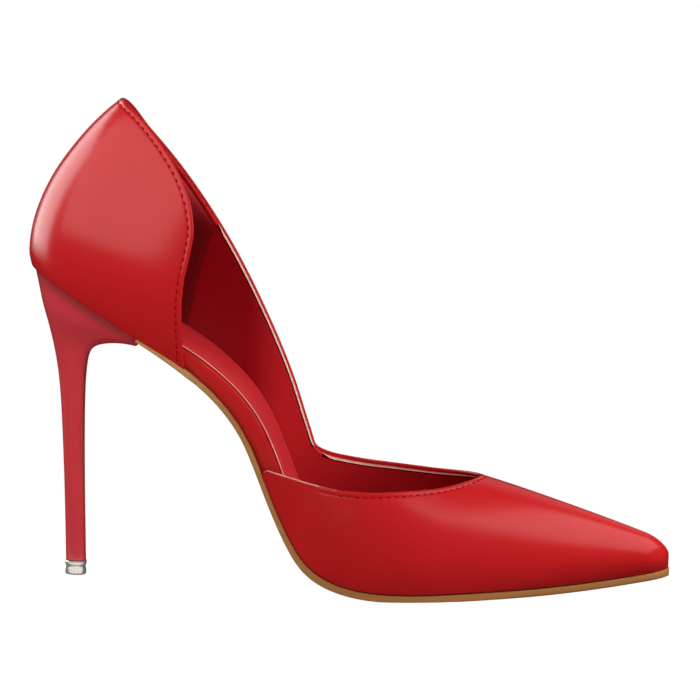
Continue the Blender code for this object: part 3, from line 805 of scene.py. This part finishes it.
def seat_sides():
    """Both halves of the heel's outline under the seat, from the back to the breast."""
    front = float(station_at(BREAST_X))
    behind = np.linspace(0, 1, HEEL_CUTS, endpoint=False)
    columns = np.concatenate([behind, np.linspace(1, front, SEAT_CUTS)])
    return [skin(columns, -HEEL_GAP, side, HEEL_INSET) for side in (-1, 1)]


def stem_outline(count):
    """Half outline of the stem, round behind and flat at the breast: shares of its depth and half width."""
    turn = np.linspace(0, math.pi, count)
    ahead = -np.cos(turn)
    depth = np.where(ahead > 0, np.abs(ahead) ** STEM_BREAST, ahead)
    return (1 + depth) / 2, np.sin(turn) ** STEM_SIDE


def heel_rings():
    """The heel's table with rings in between."""
    table = np.array(HEEL_RINGS)
    row = np.arange(len(table))
    fine = np.linspace(0, row[-1], HEEL_STEPS * row[-1] + 1)
    columns = [spline(row, column, fine) for column in table.T]
    return [dict(zip(HEEL_COLUMNS, values)) for values in zip(*columns)]


def heel_loops():
    """Loops from the seat down to the end of the stem."""
    inner, outer = seat_sides()
    back = inner[0]
    front = (inner[-1] + outer[-1]) / 2
    chord = front - back
    across = np.linspace(-1, 1, BREAST_CUTS + 2)[1:-1]
    half_breast = np.abs(across[:BREAST_CUTS // 2])
    side_depth = (inner - back) @ chord / (chord @ chord)
    side_width = np.abs(inner[:, 1] - front[1])
    seat_depth = np.concatenate([side_depth, np.ones_like(half_breast)])
    seat_width = np.concatenate([side_width, half_breast * side_width[-1]]) / side_width.max()
    stem_depth, stem_width = stem_outline(len(seat_depth))

    loops = [np.concatenate([inner, front + across[:, None] * (outer[-1] - front), outer[::-1]])]
    for ring in heel_rings():
        depth = seat_depth + ring["stem"] * (stem_depth - seat_depth)
        width = seat_width + ring["stem"] * (stem_width - seat_width)
        x = ring["back_x"] + depth * (ring["front_x"] - ring["back_x"])
        z = ring["back_z"] + depth * (ring["front_z"] - ring["back_z"])
        halves = [np.stack([x, front[1] + side * ring["half"] * width, z], axis=-1) for side in (-1, 1)]
        loops.append(np.concatenate([halves[0], halves[1][::-1]]))
    return np.stack(loops)


def make_heel(look):
    """Covered heel, crisp round its seat and its end."""
    mesh = bmesh.new()
    add_loft(mesh, heel_loops(), ends=(0, -1))
    made = piece("heel_cover", mesh, [look], "heel_cover", "heel")
    made.data.set_sharp_from_angle(angle=math.radians(HEEL_SHARP))


def make_heel_tip(look):
    """Metal tip with a slight waist, flat underneath."""
    end = heel_loops()[-1]
    middle = (end.max(axis=0) + end.min(axis=0)) / 2
    outwards = (end - middle)[:, :2]
    length = np.linalg.norm(outwards, axis=1, keepdims=True)
    loops = []
    for height, stands_in in TIP_RINGS:
        outline = middle[:2] + outwards * (1 + (TIP_PROUD - stands_in) / length)
        loops.append(np.column_stack([outline, np.full(len(end), height)]))
    mesh = bmesh.new()
    add_loft(mesh, np.stack(loops), ends=(0, -1))
    piece("tip_cap", mesh, [look], "tip_metal", "heel_tip")


# Materials

def new_material(name, roughness, specular=0.5):
    """Material, its node tree and its shader."""
    made = bpy.data.materials.new(name)
    made.use_nodes = True
    shader = made.node_tree.nodes["Principled BSDF"]
    shader.inputs["Roughness"].default_value = roughness
    shader.inputs["Specular IOR Level"].default_value = specular
    return made, made.node_tree, shader


def add_noise(tree, scale):
    """Noise over a piece, and its places."""
    place = tree.nodes.new("ShaderNodeTexCoord")
    noise = tree.nodes.new("ShaderNodeTexNoise")
    noise.inputs["Scale"].default_value = scale
    tree.links.new(place.outputs["Object"], noise.inputs["Vector"])
    return noise, place


def add_colour(tree, shader, dark, light, drift):
    """Drift between two close colours, as dye takes unevenly."""
    noise, place = add_noise(tree, drift)
    noise.inputs["Detail"].default_value = DRIFT_DETAIL
    ramp = tree.nodes.new("ShaderNodeValToRGB")
    ramp.color_ramp.elements[0].position = DRIFT_SPAN[0]
    ramp.color_ramp.elements[0].color = (*dark, 1)
    ramp.color_ramp.elements[1].position = DRIFT_SPAN[1]
    ramp.color_ramp.elements[1].color = (*light, 1)
    tree.links.new(noise.outputs["Fac"], ramp.inputs["Fac"])
    tree.links.new(ramp.outputs["Color"], shader.inputs["Base Color"])
    return place


def add_colour_ramp(tree, shader, axis, span, first, last, drift):
    """Colour that changes along an axis, over a span, from the first to the last, and wanders a little."""
    noise, place = add_noise(tree, drift)
    along = tree.nodes.new("ShaderNodeVectorMath")
    along.operation = "DOT_PRODUCT"
    along.inputs[1].default_value = axis
    share = tree.nodes.new("ShaderNodeMapRange")
    share.inputs["From Min"].default_value = span[0] * METRE
    share.inputs["From Max"].default_value = span[1] * METRE
    wander = tree.nodes.new("ShaderNodeMath")
    wander.operation = "MULTIPLY_ADD"
    wander.inputs[1].default_value = RAMP_DRIFT
    ramp = tree.nodes.new("ShaderNodeValToRGB")
    ramp.color_ramp.interpolation = "EASE"
    ramp.color_ramp.elements[0].color = (*first, 1)
    ramp.color_ramp.elements[1].color = (*last, 1)
    tree.links.new(place.outputs["Object"], along.inputs[0])
    tree.links.new(along.outputs["Value"], share.inputs["Value"])
    tree.links.new(noise.outputs["Fac"], wander.inputs[0])
    tree.links.new(share.outputs["Result"], wander.inputs[2])
    tree.links.new(wander.outputs["Value"], ramp.inputs["Fac"])
    tree.links.new(ramp.outputs["Color"], shader.inputs["Base Color"])
    return place


def add_grain(tree, shader, place, strength=GRAIN):
    """Fine leather grain of rounded cells."""
    cells = tree.nodes.new("ShaderNodeTexVoronoi")
    cells.feature = "SMOOTH_F1"
    cells.inputs["Scale"].default_value = 1 / GRAIN_CELL
    cells.inputs["Smoothness"].default_value = GRAIN_SMOOTHNESS
    bump = tree.nodes.new("ShaderNodeBump")
    bump.inputs["Strength"].default_value = strength
    bump.inputs["Distance"].default_value = GRAIN_DEPTH
    tree.links.new(place.outputs["Object"], cells.inputs["Vector"])
    tree.links.new(cells.outputs["Distance"], bump.inputs["Height"])
    tree.links.new(bump.outputs["Normal"], shader.inputs["Normal"])


def grained(name, dark, light, roughness, grain=GRAIN):
    """Leather of an uneven colour with a fine grain."""
    made, tree, shader = new_material(name, roughness)
    place = add_colour(tree, shader, dark, light, SLOW_DRIFT)
    add_grain(tree, shader, place, grain)
    return made


def plain(name, dark, light, roughness, specular=0.5):
    """Stuff of an uneven colour without a grain."""
    made, tree, shader = new_material(name, roughness, specular)
    add_colour(tree, shader, dark, light, FINE_DRIFT)
    return made


def upper_look():
    """Smooth red leather with a soft gloss."""
    return grained("red_leather", (0.45, 0.011, 0.012), (0.49, 0.013, 0.014), roughness=0.24, grain=0.07)


def raw_look():
    """Pale raw edge of the lining."""
    return plain("raw_edge", (0.88, 0.51, 0.43), (0.98, 0.63, 0.54), roughness=0.7)


def groove_shade_look():
    """Painted shadow in the slit under the raw edge."""
    return plain("groove_painted_shadow", (0.05, 0.001, 0.001), (0.07, 0.001, 0.001), roughness=0.8, specular=0.1)


def crest_highlight_look():
    """Painted highlight on the crest of the fold near the vamp's corner."""
    return plain("crest_painted_highlight", (0.70, 0.24, 0.21), (0.80, 0.32, 0.28), roughness=0.5)


def thread_look():
    """Red sewing thread, painted darker to stand in for the shade in its stitch holes."""
    return plain("red_thread_painted_shade", (0.25, 0.002, 0.006), (0.31, 0.003, 0.008), roughness=0.6, specular=0.1)


def board_look():
    """Red leather over the insole board."""
    return grained("red_board_cover", (0.51, 0.016, 0.015), (0.55, 0.018, 0.017), roughness=0.38)


def sock_look():
    """Red leather of the sock."""
    return grained("red_sock", (0.52, 0.019, 0.024), (0.56, 0.022, 0.028), roughness=0.5)


def sock_edge_look():
    """Raw edge of the sock, warmer than the lining's."""
    return plain("sock_raw_edge", (0.94, 0.41, 0.34), (1.0, 0.50, 0.42), roughness=0.7)


def lining_look():
    """Lining leather with painted shade: a deeper red in the quarter than in the vamp."""
    made, tree, shader = new_material("red_lining", roughness=0.5, specular=0.2)
    # Painted shade and light: the quarter's deep red stands in for shade inside the shoe, the vamp's
    # brighter red for light that reaches it.
    quarter = (0.22, 0.001, 0.004)
    vamp = (0.46, 0.015, 0.019)
    place = add_colour_ramp(tree, shader, (1, 0, 0), LINING_SHADE_SPAN, quarter, vamp, SLOW_DRIFT)
    add_grain(tree, shader, place)
    return made


def grip_look():
    """Suede of the heel grip with painted light and shade: dark below and redder towards the topline."""
    made, tree, shader = new_material("heel_grip_suede", roughness=0.6, specular=0.06)
    # Painted shade and light: dark below where the grip lies in shade, redder above where light falls in at
    # the topline.
    below = (0.115, 0.0025, 0.0035)
    above = (0.50, 0.030, 0.042)
    place = add_colour_ramp(tree, shader, (0, 0, 1), GRIP_SHADE_SPAN, below, above, SLOW_DRIFT)
    add_grain(tree, shader, place)
    return made


def outsole_look():
    """Tan sole leather, paler in the arch than under the ball."""
    made, tree, shader = new_material("tan_sole", roughness=0.5)
    arch = (0.47, 0.225, 0.083)
    ball = (0.39, 0.162, 0.052)
    add_colour_ramp(tree, shader, (1, 0, 0), OUTSOLE_DYE, arch, ball, FINE_DRIFT)
    return made


def heel_look():
    """Heel cover, sprayed and polished, with painted shade along its seat and a painted sheen in its colour.
    """
    made, tree, shader = new_material("red_heel_cover", roughness=0.35)
    # Painted sheen: the lower colour is pinker and brighter than the red, standing in for the cover's gloss;
    # the seat colour is painted shade under the counter's overhang.
    below = (0.66, 0.048, 0.058)
    seat = (0.40, 0.042, 0.048)
    add_colour_ramp(tree, shader, SEAT_AXIS, HEEL_SEAT_SHADE_SPAN, below, seat, SLOW_DRIFT)
    shader.inputs["Coat Weight"].default_value = 0.6
    shader.inputs["Coat Roughness"].default_value = 0.1
    return made


def metal_look():
    """Polished metal of the tip."""
    made, tree, shader = new_material("polished_metal", roughness=0.25)
    shader.inputs["Metallic"].default_value = 0.7
    add_colour(tree, shader, (0.78, 0.74, 0.62), (0.86, 0.84, 0.74), METAL_DRIFT)
    return made


# Stage

def softbox(name, aim, turn, rise, distance, size, glow, roll, lit):
    """Rectangular light that faces a point of the shoe."""
    bearing = math.radians(turn)
    height = math.radians(rise)
    level = math.cos(height)
    outwards = Vector((math.sin(bearing) * level, -math.cos(bearing) * level, math.sin(height)))
    data = bpy.data.lights.new(name, "AREA")
    data.shape = "RECTANGLE"
    data.size, data.size_y = (length * METRE for length in size)
    data.energy = glow * math.pi * data.size * data.size_y
    made = bpy.data.objects.new(name, data)
    made.location = (Vector(aim) + outwards * distance) * METRE
    made.rotation_mode = "QUATERNION"
    spin = Quaternion((0, 0, 1), math.radians(roll))
    made.rotation_quaternion = (-outwards).to_track_quat("-Z", "Y") @ spin
    made.visible_camera = False
    made.visible_diffuse = "diffuse" in lit
    made.visible_glossy = "glossy" in lit
    data.cycles.use_multiple_importance_sampling = "glossy" in lit
    bpy.context.scene.collection.objects.link(made)


def make_world():
    """White surroundings, seen by the camera but not in the shoe."""
    world = bpy.data.worlds.new("studio")
    world.use_nodes = True
    background = world.node_tree.nodes["Background"]
    background.inputs["Color"].default_value = (1, 1, 1, 1)
    world.cycles_visibility.glossy = False
    world.cycles_visibility.diffuse = False
    bpy.context.scene.world = world


def make_floor():
    """White floor, seen by the camera but not in the shoe, and without a shadow."""
    data = bpy.data.meshes.new("floor")
    corners = [(x * FLOOR_HALF, y * FLOOR_HALF, 0) for x, y in ((-1, -1), (1, -1), (1, 1), (-1, 1))]
    data.from_pydata(corners, [], [(0, 1, 2, 3)])
    floor = bpy.data.objects.new("floor", data)
    made, _, shader = new_material("floor_white", roughness=0.9, specular=0.0)
    shader.inputs["Base Color"].default_value = (0, 0, 0, 1)
    shader.inputs["Emission Color"].default_value = (1, 1, 1, 1)
    shader.inputs["Emission Strength"].default_value = 1.0
    made.cycles.emission_sampling = "NONE"
    data.materials.append(made)
    floor.visible_glossy = False
    floor.visible_diffuse = False
    floor.visible_shadow = False
    bpy.context.scene.collection.objects.link(floor)


def make_lights():
    for row in LIGHTS:
        softbox(**dict(zip(LIGHT_COLUMNS, row)))


def make_camera():
    """Camera on the cut-away side, a little above the floor."""
    data = bpy.data.cameras.new("camera")
    data.sensor_width = SENSOR
    data.lens = FOCAL
    camera = bpy.data.objects.new("camera", data)
    tilt = math.radians(ELEVATION)
    back = Vector((0, -math.cos(tilt), math.sin(tilt)))
    camera.location = (Vector(TARGET) + back * DISTANCE) * METRE
    camera.rotation_mode = "QUATERNION"
    roll = Quaternion((0, 0, 1), math.radians(ROLL))
    camera.rotation_quaternion = (-back).to_track_quat("-Z", "Y") @ roll
    bpy.context.scene.collection.objects.link(camera)
    bpy.context.scene.camera = camera


def main():
    bpy.context.scene.view_settings.view_transform = "Standard"
    topline = Topline()
    make_upper(topline, [upper_look(), raw_look(), lining_look(), groove_shade_look(), crest_highlight_look()])
    make_heel_grip(topline, grip_look())
    thread = thread_look()
    make_stitches(topline, "counter_stitches", slice(0, topline.peak + 1), thread)
    make_stitches(topline, "quarter_stitches", slice(topline.peak, topline.throat + 1), thread)
    make_stitches(topline, "vamp_stitches", slice(topline.throat, topline.last_stitch), thread)
    make_board(board_look())
    make_sock(sock_look(), sock_edge_look())
    make_outsole(outsole_look())
    make_heel(heel_look())
    make_heel_tip(metal_look())
    make_world()
    make_floor()
    make_lights()
    make_camera()


main()
